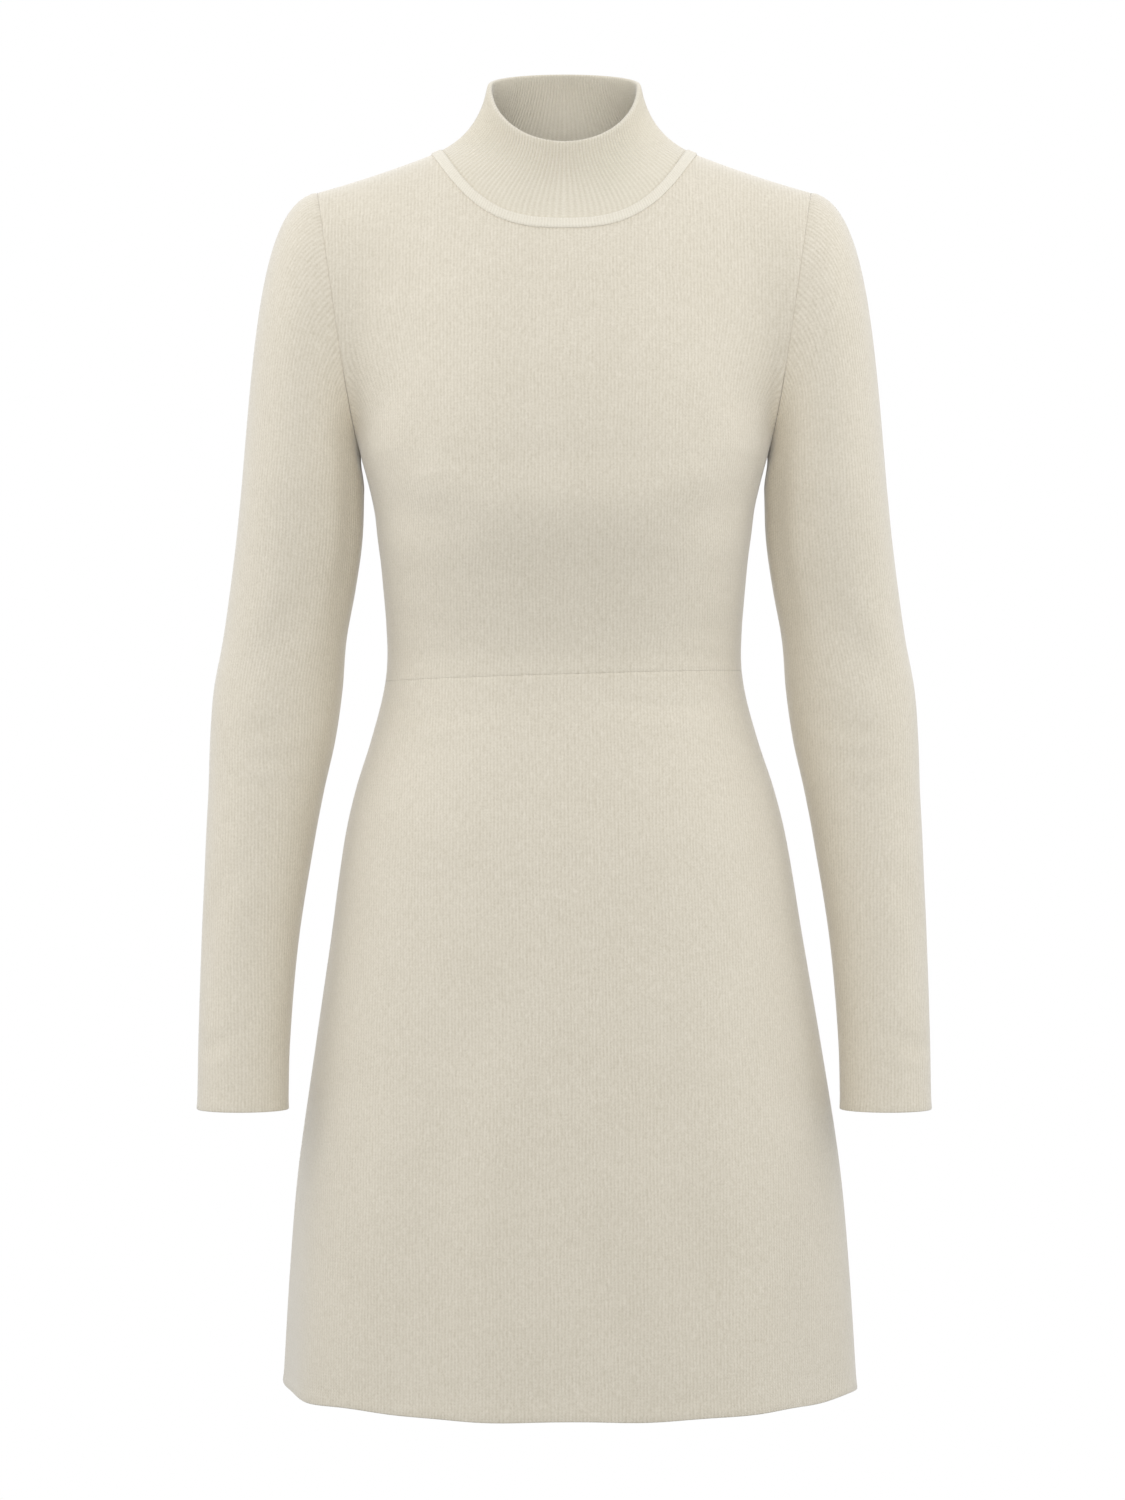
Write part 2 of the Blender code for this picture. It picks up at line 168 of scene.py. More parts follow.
RIDGE_PLACE = 2.6        # the soft ridge beside a seam's groove, in half widths of it
RIDGE_WIDTH = 1.3
RIDGE_SHARE = 0.35
FLAT_SEAM = 0.25         # share of a seam's depth that the flatter ones keep
DEEP_SEAM_Z = -0.150     # seams deepen above this height, over DEEP_SEAM_RAMP
DEEP_SEAM_RAMP = 0.080
WAIST_BAND = 0.012       # how near the waist a seam counts as the waist's
WAIST_EVEN = 0.050       # the waist seam is deep this far from the middle and then fades
WAIST_FADE = 0.060
HOLD_WIDTH = 0.012       # creases are whole this far from a seam
EDGE_WIDTH = 0.004       # how far up an open edge is fuller
# waves round the hem: how many, height, and turn of the first crest
HEM_RIPPLES = ((9, 0.0005, 0.6), (15, 0.0004, 0.0))
HEM_SIDE_RISE = 0.0006
HEM_RIPPLE_START = 0.80  # share of the way down the skirt
SLEEVE_UNDER = 0.135     # a sleeve's creases count this much from outside to under the arm
RIB_AT_FOOT = 0.15       # share of a rib's height that it keeps at the neck seam
RIB_GROWTH = 1.2         # over 1, ribs reach their full height before the rim
RIM_EASE = 0.5           # share of a rib's height that the fold at the rim takes
RIM_SHARE = 0.03         # how far down the collar it does so
FOOT_DEPTH = 0.0004      # groove where the collar meets the neck seam
FOOT_WIDTH = 0.0015
FOOT_SHARE = 0.05        # how much of the collar's rise shows which way its foot runs
NECK_SAMPLES = 2880      # steps round the neck seam when its length is measured
TRIM_ROWS = 17
TRIM_EDGE = 0.16         # share of the band's width that its rounded edge takes
TRIM_CROSS = 0.28        # share of its height that is the crossed stitches
TRIM_CLEAR = 0.0007      # its lowest height over the seam
TRIM_WALL = 0.0007
LINK_STEPS = 6           # columns in each of its stitches

# ---- creases ------------------------------------------------------------------------
# Each is a path, how wide it is and how high: below zero it is a trough. On the body the
# path runs in (across, height), on a sleeve in (way round from the outside, front
# positive and under the arm 0.135, height).

FRONT_BODICE_CREASES = (
    (((0.126, -0.232), (0.108, -0.252), (0.085, -0.262)), 0.0130, -0.0016),
    (((-0.126, -0.236), (-0.106, -0.256), (-0.080, -0.264)), 0.0130, -0.0018),
    (((0.134, -0.190), (0.118, -0.170), (0.112, -0.140)), 0.0120, -0.0014),
    (((-0.134, -0.192), (-0.119, -0.170), (-0.113, -0.136)), 0.0120, -0.0014),
    (((0.122, -0.330), (0.100, -0.338), (0.080, -0.336)), 0.0060, -0.0004),
    (((0.124, -0.350), (0.100, -0.356), (0.076, -0.352)), 0.0050, -0.0003),
    (((-0.122, -0.322), (-0.104, -0.332), (-0.084, -0.334)), 0.0060, -0.0004),
    (((-0.124, -0.346), (-0.100, -0.353), (-0.080, -0.352)), 0.0050, -0.0003),
    (((0.092, -0.222), (0.086, -0.226), (0.080, -0.222)), 0.0200, 0.0012),
    (((-0.092, -0.222), (-0.086, -0.226), (-0.080, -0.222)), 0.0200, 0.0012),
    (((0.000, -0.170), (0.002, -0.215), (0.000, -0.250)), 0.0260, -0.0010),
)
BACK_BODICE_CREASES = (
    (((0.132, -0.196), (0.112, -0.172), (0.104, -0.136)), 0.0130, -0.0018),
    (((-0.132, -0.196), (-0.113, -0.174), (-0.103, -0.134)), 0.0130, -0.0018),
    (((0.124, -0.306), (0.080, -0.322), (0.020, -0.322)), 0.0090, -0.0012),
    (((-0.124, -0.302), (-0.078, -0.319), (-0.025, -0.326)), 0.0090, -0.0012),
    (((0.122, -0.342), (0.070, -0.350), (0.010, -0.346)), 0.0060, -0.0009),
    (((-0.122, -0.338), (-0.075, -0.348), (-0.020, -0.350)), 0.0060, -0.0009),
    (((0.000, -0.080), (0.001, -0.160), (0.000, -0.260)), 0.0300, -0.0022),
    (((0.090, -0.060), (0.060, -0.072), (0.030, -0.074)), 0.0100, -0.0008),
    (((-0.090, -0.060), (-0.060, -0.072), (-0.030, -0.074)), 0.0100, -0.0008),
)
FRONT_SKIRT_CREASES = (
    (((0.110, -0.386), (0.070, -0.390), (0.030, -0.386)), 0.0050, -0.0007),
    (((-0.112, -0.392), (-0.080, -0.396), (-0.045, -0.392)), 0.0050, -0.0006),
    (((0.062, -0.620), (0.078, -0.720), (0.092, -0.840)), 0.0200, -0.0014),
    (((-0.070, -0.600), (-0.084, -0.700), (-0.098, -0.850)), 0.0200, -0.0014),
    (((0.020, -0.660), (0.026, -0.760), (0.028, -0.880)), 0.0220, -0.0012),
    (((-0.040, -0.640), (-0.046, -0.740), (-0.052, -0.880)), 0.0180, 0.0010),
)
BACK_SKIRT_CREASES = (
    (((0.108, -0.388), (0.060, -0.394), (0.010, -0.388)), 0.0060, -0.0008),
    (((-0.108, -0.386), (-0.066, -0.392), (-0.016, -0.390)), 0.0060, -0.0008),
    (((0.050, -0.600), (0.064, -0.700), (0.074, -0.850)), 0.0200, -0.0016),
    (((-0.058, -0.580), (-0.072, -0.700), (-0.084, -0.850)), 0.0200, -0.0016),
    (((0.000, -0.620), (-0.004, -0.740), (-0.006, -0.880)), 0.0240, 0.0012),
)
SLEEVE_CREASES = (
    (((0.098, -0.200), (0.108, -0.260), (0.106, -0.330)), 0.0080, -0.0018),
    (((-0.098, -0.200), (-0.107, -0.255), (-0.104, -0.320)), 0.0080, -0.0018),
    (((0.092, -0.300), (0.064, -0.345), (0.040, -0.380)), 0.0130, -0.0012),
    (((-0.094, -0.290), (-0.066, -0.345), (-0.042, -0.385)), 0.0130, -0.0012),
    (((0.100, -0.392), (0.074, -0.404), (0.050, -0.402)), 0.0070, -0.0006),
    (((0.100, -0.418), (0.070, -0.424), (0.050, -0.418)), 0.0060, -0.0005),
    (((0.100, -0.448), (0.072, -0.446), (0.050, -0.438)), 0.0060, -0.0004),
    (((-0.104, -0.400), (-0.078, -0.414), (-0.050, -0.424)), 0.0080, -0.0012),
    (((-0.100, -0.436), (-0.070, -0.440), (-0.046, -0.446)), 0.0070, -0.0010),
    (((0.060, -0.500), (0.030, -0.540), (0.026, -0.590)), 0.0110, -0.0009),
    (((-0.060, -0.510), (-0.034, -0.560), (-0.024, -0.610)), 0.0110, -0.0010),
    (((0.070, -0.610), (0.040, -0.622), (0.012, -0.620)), 0.0060, -0.0007),
)


# ---- curves -------------------------------------------------------------------------

def station(table, z):
    """Each size in a table at the heights z, on a smooth curve through its rows."""
    rows = np.array(sorted(table))
    z = np.clip(z, rows[0, 0], rows[-1, 0])
    k = np.clip(np.searchsorted(rows[1:, 0], z), 0, len(rows) - 2)
    low, high = rows[k], rows[k + 1]
    before, after = rows[np.maximum(k - 1, 0)], rows[np.minimum(k + 2, len(rows) - 1)]
    span = (high - low)[..., :1]
    t = (z[..., None] - low[..., :1]) / span
    slope_low = (high - before) / (high - before)[..., :1] * span
    slope_high = (after - low) / (after - low)[..., :1] * span
    sizes = ((2 * t**3 - 3 * t**2 + 1) * low + (t**3 - 2 * t**2 + t) * slope_low
             + (3 * t**2 - 2 * t**3) * high + (t**3 - t**2) * slope_high)
    return [sizes[..., i] for i in range(1, rows.shape[1])]


def bezier(p0, p1, p2, p3, t):
    s = 1 - t
    return p0 * s**3 + p1 * (3 * s * s * t) + p2 * (3 * s * t * t) + p3 * t**3


def signed_power(value, power):
    return np.sign(value) * np.abs(value)**power


def smooth(value):
    value = np.clip(value, 0.0, 1.0)
    return value * value * (3 - 2 * value)


def points(x, y, z):
    return np.stack(np.broadcast_arrays(x, y, z), axis=-1)


def unit(vectors):
    return vectors / np.maximum(np.linalg.norm(vectors, axis=-1, keepdims=True), 1e-12)


def run_length(grid, axis):
    """How far each point lies along its row or column, in metres."""
    steps = np.linalg.norm(np.diff(grid, axis=axis), axis=-1)
    pad = [(0, 0), (0, 0)]
    pad[axis] = (1, 0)
    return np.cumsum(np.pad(steps, pad), axis=axis)


def shares(length, step, dense_start=False, dense_end=False):
    """Shares 0 to 1 of a length, a step apart and close together beside a seam."""
    start = [0.0, *BESIDE_SEAM] if dense_start else [0.0]
    end = [length - gap for gap in reversed(BESIDE_SEAM)] if dense_end else []
    low, high = start[-1], (end[0] if end else length)
    count = max(2, round((high - low) / step))
    middle = [low + (high - low) * i / count for i in range(1, count)]
    return np.array(start + middle + end + [length]) / length


# ---- where the cloth lies -----------------------------------------------------------

def body_points(side, c, z):
    """Points of the body at heights z; c runs -1 to 1 across the front or the back."""
    c, z = np.broadcast_arrays(np.asarray(c, float), np.asarray(z, float))
    half, front, back, square = station(BODY, z)
    turn = math.pi / 2 * c
    down = np.clip((WAIST_Z - z) / (WAIST_Z - HEM_Z), 0.0, 1.0)
    angle = turn if side == FRONT else math.pi - turn
    grow = 1 + CREST_HEIGHT * down**2 * np.cos(CREST_COUNT * (angle + CREST_TURN)) / half
    x = half * signed_power(np.sin(turn), 2 / square) * grow
    reach = front if side == FRONT else back
    y = side * reach * np.abs(np.cos(turn))**(2 / square) * grow
    return points(x + SKIRT_SWAY * smooth(down * 1.5), y, z)


def ridge_points(x):
    """Points of the line over the shoulders; inside the neck seam it arches across."""
    along = (np.abs(x) - NECK_HALF) / (SHOULDER_HALF - NECK_HALF)
    slope = SHOULDER_DROP * (1 + SHOULDER_CURVE) / (SHOULDER_HALF - NECK_HALF)
    outer = -SHOULDER_DROP * along * (1 + SHOULDER_CURVE - SHOULDER_CURVE * along)
    inner = slope * NECK_HALF / 2 * (1 - (x / NECK_HALF)**2)
    return points(x, NECK_Y * (1 - np.maximum(along, 0)), np.where(along >= 0, outer, inner))


def arch_points(side, c, v):
    """Points of the upper body; v runs 0 at the armpit's height to 1 over the shoulder."""
    c, v = np.broadcast_arrays(np.asarray(c, float), np.asarray(v, float))
    foot = body_points(side, c, ARMPIT_Z)
    head = ridge_points(SHOULDER_HALF * c)
    rises, overs = (FRONT_RISE, FRONT_OVER) if side == FRONT else (BACK_RISE, BACK_OVER)
    arm = (np.abs(c)**ARM_SIDE)[..., None]
    turned = points(c, 1.0, 1.0)
    rise = (np.array(rises[0]) * (1 - arm) + np.array(rises[1]) * arm) * turned
    over = (np.array(overs[0]) * (1 - arm) + np.array(overs[1]) * arm) * turned
    return bezier(foot, foot + rise, head - over, head, v[..., None])


def neck_share(side, c, grow=0.0):
    """How far up the columns c the neck seam crosses; grow widens the seam's outline."""
    reach = (NECK_FRONT if side == FRONT else NECK_BACK) + grow
    low, high = np.zeros_like(c), np.ones_like(c)
    for _ in range(40):
        middle = (low + high) / 2
        p = arch_points(side, c, middle)
        out = (np.abs(p[..., 0] / (NECK_HALF + grow))**NECK_SQUARE
               + np.abs((p[..., 1] - NECK_Y) / reach)**2) > 1
        low, high = np.where(out, middle, low), np.where(out, high, middle)
    return np.where(np.abs(c) * SHOULDER_HALF > NECK_HALF + grow - 1e-5, 1.0, high)


def neck_points(angle, grow=0.0):
    """Points of the neck seam; angle 0 is the front, 90 degrees the shoulder at +X."""
    c = (NECK_HALF + grow) * np.sin(angle) / SHOULDER_HALF
    front = arch_points(FRONT, c, neck_share(FRONT, c, grow))
    back = arch_points(BACK, c, neck_share(BACK, c, grow))
    return np.where((np.cos(angle) > 0)[..., None], front, back)


def yoke_points(side, c, v):
    """Points of the bodice above the armpits; v runs 0 at the armpit to 1 at the top."""
    share = np.where(np.abs(c) < NECK_SHARE, neck_share(side, c), 1.0)
    return arch_points(side, c, v * share)


def waist_heights(side, c):
    return WAIST_Z + WAIST_TILT * body_points(side, c, WAIST_Z)[..., 0]


def arm_points(hand, turn, z):
    """Points of a sleeve; turn is 0 outside, 90 degrees in front, 180 under the arm."""
    turn, z = np.broadcast_arrays(turn, z)
    middle, half, y, depth = station(ARM, z)
    return points(hand * (middle + half * np.cos(turn)), y - depth * np.sin(turn), z)


def cap_points(hand, turn, start, t):
    """Points of the sleeve head, from the armhole points start down to the first ring."""
    end = arm_points(hand, turn, np.full_like(turn, ARM[0][0]))
    weights = (np.ones_like(turn), (1 + np.cos(turn)) / 2, np.abs(np.sin(turn)))
    leave = sum(w[..., None] * np.array(step) for w, step in zip(weights, CAP_LEAVE))
    arrive = sum(w[..., None] * np.array(step) for w, step in zip(weights, CAP_ARRIVE))
    leave = leave * points(hand, -np.sign(np.sin(turn)), 1.0)
    arrive = arrive * np.array((hand, 1.0, 1.0))
    return bezier(start, start + leave, end - arrive, end, t)


def rim_points(angle):
    c = np.cos(angle)
    bow = (np.hypot(c, RIM_ROUND) - RIM_ROUND) / (math.hypot(1, RIM_ROUND) - RIM_ROUND)
    return points(RIM_HALF * np.sin(angle), RIM_Y - RIM_DEPTH * c,
                  RIM_Z - RIM_TILT * c - RIM_BOW * bow)


def collar_points(angle, t):
    """Points of the collar; it leaves the neck seam almost flat and turns up to the rim."""
    seam, rim = neck_points(angle), rim_points(angle)
    s, c = np.sin(angle), np.cos(angle)
    across, along = s * np.abs(s), c * np.abs(c)
    leave = points(COLLAR_LEAVE[0] * across, COLLAR_LEAVE[1] * along,
                   COLLAR_LEAVE[2] - COLLAR_SIDE * s * s)
    arrive = points(COLLAR_ARRIVE[0] * across, COLLAR_ARRIVE[1] * along, COLLAR_ARRIVE[2])
    return bezier(seam, seam + leave, rim + arrive, rim, t)


# ---- from a grid of points to a piece of cloth --------------------------------------

def panel_columns():
    """Columns across a panel, -1 to 1, close together beside its seams and the neck."""
    neck = NECK_SHARE * np.sin(np.linspace(-math.pi / 2, math.pi / 2, NECK_STEPS + 1))
    even = np.linspace(0.0, 1.0, SIDE_STEPS + 1)
    eased = 0.25 * even + 0.75 * (1 - np.cos(math.pi * even)) / 2
    side = NECK_SHARE + (1 - NECK_SHARE) * eased[1:]
    return np.concatenate([-side[::-1], neck, side])


COLUMNS = panel_columns()
YOKE = shares(ARMPIT_TO_SHOULDER, ROW_STEP, dense_start=True, dense_end=True)


class Cloth:
    """One panel: its grid of points, which way it faces, its flat map and its seams."""

    def __init__(self, grid, sign, around=None, tube=False, seams=(), folded=False):
        self.grid = grid
        self.sign = sign                    # 1, or -1 where the grid's own face is inside
        self.tube = tube                    # its last column is its first
        self.folded = folded                # the last row is an open edge, folded over
        self.along = run_length(grid, 0)
        self.across = run_length(grid, 1)
        self.around = self.centred() if around is None else around
        gaps = {"top": self.along, "end": self.along[-1:] - self.along,
                "left": self.across, "right": self.across[:, -1:] - self.across}
        beside = [gaps[name] for name in seams]
        self.to_seam = np.minimum.reduce(beside) if beside else np.full(grid.shape[:2], 1.0)
        self.to_fold = self.along[-1:] - self.along
        self.normals = self.facing()

    def centred(self):
        middle = self.across.shape[1] // 2
        return self.across - self.across[:, middle:middle + 1]

    def facing(self):
        across = np.gradient(self.grid, axis=1)
        along = np.gradient(self.grid, axis=0)
        if self.tube:
            wrapped = self.grid[:, 1] - self.grid[:, -2]
            across[:, 0] = across[:, -1] = wrapped
        return unit(np.cross(across, along)) * self.sign

    def area(self):
        """Area of the cloth that shows, in square metres."""
        a, b = self.grid[1:, 1:] - self.grid[:-1, :-1], self.grid[1:, :-1] - self.grid[:-1, 1:]
        return float(np.linalg.norm(np.cross(a, b), axis=-1).sum() / 2)

    def cut(self):
        """Width and length of the piece before it was sewn, all round on a tube."""
        return float(np.ptp(self.around, axis=1).max()), float(self.along[-1].max())

    def edge_spots(self):
        rows, columns = self.grid.shape[:2]
        spots = [(r, c) for r in (0, rows - 1) for c in range(columns)]
        if not self.tube:
            spots += [(r, c) for c in (0, columns - 1) for r in range(1, rows - 1)]
        return spots


def share_seams(cloths):
    """Makes panels that are sewn together face the same way along their seam."""
    met = {}
    for cloth in cloths:
        for r, c in cloth.edge_spots():
            key = tuple(np.round(cloth.grid[r, c] / SEWN_WITHIN).astype(int))
            met.setdefault(key, []).append((cloth, r, c, cloth.normals[r, c].copy()))
    for spots in met.values():
        for cloth, r, c, own in spots:
            near = [normal for _, _, _, normal in spots if normal @ own > 0.2]
            cloth.normals[r, c] = unit(sum(near))


def crease_height(flat, creases):
    """Height of soft creases at places (across, height); each fades out at its ends."""
    total = np.zeros(flat.shape[:2])
    for path, width, height in creases:
        a, b, c = (np.array(place) for place in path)
        control = 2 * b - (a + c) / 2
        t = np.linspace(0.0, 1.0, 13)[:, None]
        line = a * (1 - t)**2 + control * (2 * t * (1 - t)) + c * t**2
        best = np.full(flat.shape[:2], 1.0)
        share = np.zeros(flat.shape[:2])
        for i, (start, end) in enumerate(zip(line, line[1:])):
            run = end - start
            s = np.clip(((flat - start) @ run) / (run @ run), 0.0, 1.0)
            gap = np.linalg.norm(flat - start - s[..., None] * run, axis=-1)
            share = np.where(gap < best, (i + s) / (len(line) - 1), share)
            best = np.minimum(best, gap)
        fade = np.sin(math.pi * (0.08 + 0.84 * share))**0.8
        apart = best / width
        total += height * fade * (np.exp(-apart**2) - 0.35 * np.exp(-((apart - 1.9) / 0.8)**2))
    return total


def mesh_object(name, verts, faces, maps):
    """A mesh with the flat map that the knit follows, in metres."""
    mesh = bpy.data.meshes.new(name)
    mesh.from_pydata(verts.tolist(), [], faces.tolist())
    layer = mesh.uv_layers.new(name="knit")
    layer.data.foreach_set("uv", maps.reshape(-1).astype(np.float32))
    mesh.shade_smooth()
    piece = bpy.data.objects.new(name, mesh)
    bpy.context.scene.collection.objects.link(piece)
    return piece


def fold_rows(cloth, outer, inner, wall):
    """Rows that carry an open edge round from one face of the cloth to the other."""
    middle, half = (outer[-1] + inner[-1]) / 2, (outer[-1] - inner[-1]) / 2
    out = unit(outer[-1] - outer[-2])
    rows = []
    for angle in np.radians(range(36, 180, 36)):
        row = middle + half * math.cos(angle) + out * (wall / 2 * math.sin(angle))
        rows.append((row[None], cloth.around[-1:], cloth.along[-1:]))
    return rows


def closed_wall(name, cloth, height, wall, seam_gap):
    """Gives a panel its thickness: outer face, inner face, and an edge all round."""
    columns = cloth.grid.shape[1]
    outer = cloth.grid + cloth.normals * height[..., None]
    if not cloth.tube:
        for edge, beside in ((0, 1), (-1, -2)):
            outer[:, edge] += unit(outer[:, beside] - outer[:, edge]) * seam_gap
    for edge, beside in ((0, 1), (-1, -2))[:1 if cloth.folded else 2]:
        outer[edge] += unit(outer[beside] - outer[edge]) * seam_gap
    inner = outer - cloth.normals * wall

    # one loop of rows: down the outer face, over the edge, and back up the inner face
    loop = [(outer, cloth.around, cloth.along)]
    if cloth.folded:
        loop += fold_rows(cloth, outer, inner, wall)
    loop.append((inner[::-1], cloth.around[::-1], cloth.along[::-1]))
    ring, around, place = (np.concatenate(parts) for parts in zip(*loop))

    deep = len(ring)
    kept = columns - 1 if cloth.tube else columns
    quads = []
    for r in range(deep):
        up = (r + 1) % deep
        quads += [((r, c), (r, c + 1), (up, c + 1), (up, c)) for c in range(columns - 1)]
    if not cloth.tube:
        for r in range(deep // 2 - 1):
            back = deep - 1 - r
            quads.append(((r, 0), (r + 1, 0), (back - 1, 0), (back, 0)))
            end = columns - 1
            quads.append(((r, end), (back, end), (back - 1, end), (r + 1, end)))
    spots = np.array(quads)
    if cloth.sign < 0:
        spots = spots[:, ::-1]
    faces = spots[..., 0] * kept + spots[..., 1] % kept
    maps = np.stack([around[spots[..., 0], spots[..., 1]], place[spots[..., 0], spots[..., 1]]],
                    axis=-1)
    return mesh_object(name, ring[:, :kept].reshape(-1, 3), faces, maps)


# ---- the panels ---------------------------------------------------------------------

def bodice_cloth(side):
    waist = waist_heights(side, COLUMNS)
    body = shares(WAIST_TO_ARMPIT, ROW_STEP, dense_start=True)[:-1]
    heights = waist + (ARMPIT_Z - waist) * body[:, None]
    lower = body_points(side, COLUMNS[None], heights)
    upper = yoke_points(side, COLUMNS[None], YOKE[:, None])
    grid = np.concatenate([lower, upper])
    # above the armpit the wales run straight up, so less of each row's depth is counted
    rise = np.concatenate([np.ones(len(body)), 1 - smooth(YOKE * 2.2)])
    steps = np.diff(grid, axis=1)
    wide = np.sqrt(steps[..., 0]**2 + (steps[..., 1]**2 + steps[..., 2]**2) * rise[:, None]**2)
    around = np.cumsum(np.pad(wide, ((0, 0), (1, 0))), axis=1)
    middle = len(COLUMNS) // 2
    around -= around[:, middle:middle + 1]
    sign = 1 if side == FRONT else -1
    return Cloth(grid, sign, around=around, seams=("top", "end", "left", "right"))


def skirt_cloth(side):
    waist = waist_heights(side, COLUMNS)
    rows = shares(WAIST_TO_HEM, SKIRT_STEP, dense_start=True)[:, None]
    hem = HEM_Z - HEM_DIP * np.cos(math.pi / 2 * COLUMNS)**2
    turn = math.pi / 2 * COLUMNS
    angle = turn if side == FRONT else math.pi - turn
    grid = body_points(side, COLUMNS[None], waist + (hem - waist) * rows)
    ripple = HEM_SIDE_RISE * np.abs(np.sin(angle))
    for count, height, first in HEM_RIPPLES:
        ripple += height * np.cos(count * angle + first)
    grid[..., 2] += ripple * smooth((rows - HEM_RIPPLE_START) / (1 - HEM_RIPPLE_START))
    return Cloth(grid, -1 if side == FRONT else 1, seams=("top", "left", "right"), folded=True)


def sleeve_cloth(hand):
    turn = np.concatenate([math.pi * (1 - YOKE), math.pi * (1 + YOKE[-2::-1])])
    front = yoke_points(FRONT, np.full_like(YOKE, hand), YOKE)
    back = yoke_points(BACK, np.full_like(YOKE, hand), YOKE)[-2::-1]
    hole = np.concatenate([front, back])
    cap = shares(SLEEVE_HEAD, HEAD_STEP, dense_start=True)[:-1]
    upper = cap_points(hand, turn, hole[None], cap[:, None, None])
    heights = ARM[0][0] + (CUFF_Z - ARM[0][0]) * shares(SLEEVE_LENGTH, ROW_STEP)
    lower = arm_points(hand, turn[None], heights[:, None])
    grid = np.concatenate([upper, lower])
    # the wales run down from the first ring round the arm
    ring = run_length(lower, 1)
    ring -= ring[:, len(YOKE) - 1:len(YOKE)]
    around = np.concatenate([np.repeat(ring[:1], len(cap), axis=0), ring])
    return Cloth(grid, -hand, around=around, tube=True, seams=("top",), folded=True)


def collar_cloth(columns):
    angle = np.linspace(-math.pi / 2, math.pi * 3 / 2, columns + 1)
    t = shares(COLLAR_RISE, COLLAR_STEP, dense_start=True, dense_end=True)[:, None, None]
    grid = collar_points(angle[None], t)
    return Cloth(grid, 1, around=np.broadcast_to(angle, grid.shape[:2]), tube=True,
                 seams=("top",), folded=True)


def sleeve_flat(cloth):
    """Places on a sleeve as (way round from the outside, height), for its creases."""
    round_way = cloth.around * SLEEVE_UNDER / np.abs(cloth.around).max(axis=1, keepdims=True)
    return np.stack([-round_way, cloth.grid[..., 2]], axis=-1)


def seam_height(cloth, sizes):
    """The groove that a seam pulls into the knit, and the soft ridge beside it."""
    apart = cloth.to_seam / sizes.seam_width
    groove = np.exp(-apart**2)
    ridge = RIDGE_SHARE * np.exp(-((apart - RIDGE_PLACE) / RIDGE_WIDTH)**2)
    # shoulder, armhole and mid-waist seams pull in; the others lie nearly flat
    across, height = np.abs(cloth.grid[..., 0]), cloth.grid[..., 2]
    waist = np.exp(-((height - WAIST_Z) / WAIST_BAND)**2)
    waist = waist * (1 - smooth((across - WAIST_EVEN) / WAIST_FADE))
    deep = np.maximum(smooth((height - DEEP_SEAM_Z) / DEEP_SEAM_RAMP), waist)
    return sizes.seam_depth * (FLAT_SEAM + (1 - FLAT_SEAM) * deep) * (ridge - groove)


def fold_height(cloth, sizes):
    """An open edge is a little fuller than the cloth above it."""
    return sizes.edge_fullness * np.exp(-(cloth.to_fold / EDGE_WIDTH)**2)


def rib_height(cloth, sizes):
    """The collar's ribs, low at its foot and at its rim, and the groove at its foot."""
    up = cloth.along / cloth.along[-1:]
    strength = RIB_AT_FOOT + (1 - RIB_AT_FOOT) * smooth(up * RIB_GROWTH)
    strength = strength * (1 - RIM_EASE * np.exp(-((1 - up) / RIM_SHARE)**2))
    ribs = sizes.rib_height * strength * np.cos(sizes.rib_count * cloth.around)
    return ribs - FOOT_DEPTH * np.exp(-(cloth.to_seam / FOOT_WIDTH)**2)


def trim_angles(pitch):
    """Angles that stand evenly along the neck seam, and how many stitches fit round it."""
    angle = np.linspace(0, 2 * math.pi, NECK_SAMPLES + 1)
    way = run_length(neck_points(angle)[None], 1)[0]
    links = round(way[-1] / pitch)
    return np.interp(np.linspace(0, way[-1], links * LINK_STEPS + 1), way, angle), links


def trim_bed(angle, share, sizes):
    """Points that the band lies on: the foot of the collar and, past the seam, the bodice."""
    seam = neck_points(angle)
    inward = unit(collar_points(angle, np.full_like(angle, FOOT_SHARE)[:, None]) - seam)
    reach = sizes.trim_width - sizes.trim_inset
    # the bodice slopes, so the seam's outline grows by less than the band reaches
    grow = reach**2 / np.linalg.norm(neck_points(angle, reach) - seam, axis=-1)
    middle, outer = neck_points(angle, grow / 2), neck_points(angle, grow)
    places = (share * sizes.trim_width - sizes.trim_inset)[:, None, None]
    q = np.maximum(places, 0) / reach
    return (seam * (1 - q) * (1 - 2 * q) + middle * 4 * q * (1 - q)
            + outer * q * (2 * q - 1) - inward * np.minimum(places, 0))


def trim_normals(bed):
    """Which way the band faces, measured over a few columns and nearly the same across."""
    run = np.roll(bed[:, :-1], -4, axis=1) - np.roll(bed[:, :-1], 4, axis=1)
    run = np.concatenate([run, run[:, :1]], axis=1)
    normal = unit(np.cross(run, -np.gradient(bed, axis=0)))
    return unit(normal + normal[len(bed) // 2])


def trim_cloth(sizes):
    """The linked band: up its inner edge, over its crossed stitches, down its outer edge."""
    angle, links = trim_angles(sizes.link_pitch)
    share = np.linspace(0, 1, TRIM_ROWS)
    bed = trim_bed(angle, share, sizes)
    normal = trim_normals(bed)
    dome = smooth(share / TRIM_EDGE) * smooth((1 - share) / TRIM_EDGE)
    along = np.linspace(0, links * sizes.link_pitch, len(angle))
    turn = math.pi * along / sizes.link_pitch
    lean = share[:, None] * sizes.trim_width / sizes.link_pitch * math.pi
    cross = np.maximum(np.cos(turn + lean)**2, np.cos(turn - lean)**2)
    stitches = 1 - TRIM_CROSS + TRIM_CROSS * cross
    height = TRIM_CLEAR + sizes.trim_height * dome[:, None] * stitches
    top = bed + normal * height[..., None]
    cloth = Cloth(top, -1, around=np.broadcast_to(along, top.shape[:2]), tube=True)
    cloth.normals = normal
    return cloth


# ---- colours and materials ----------------------------------------------------------

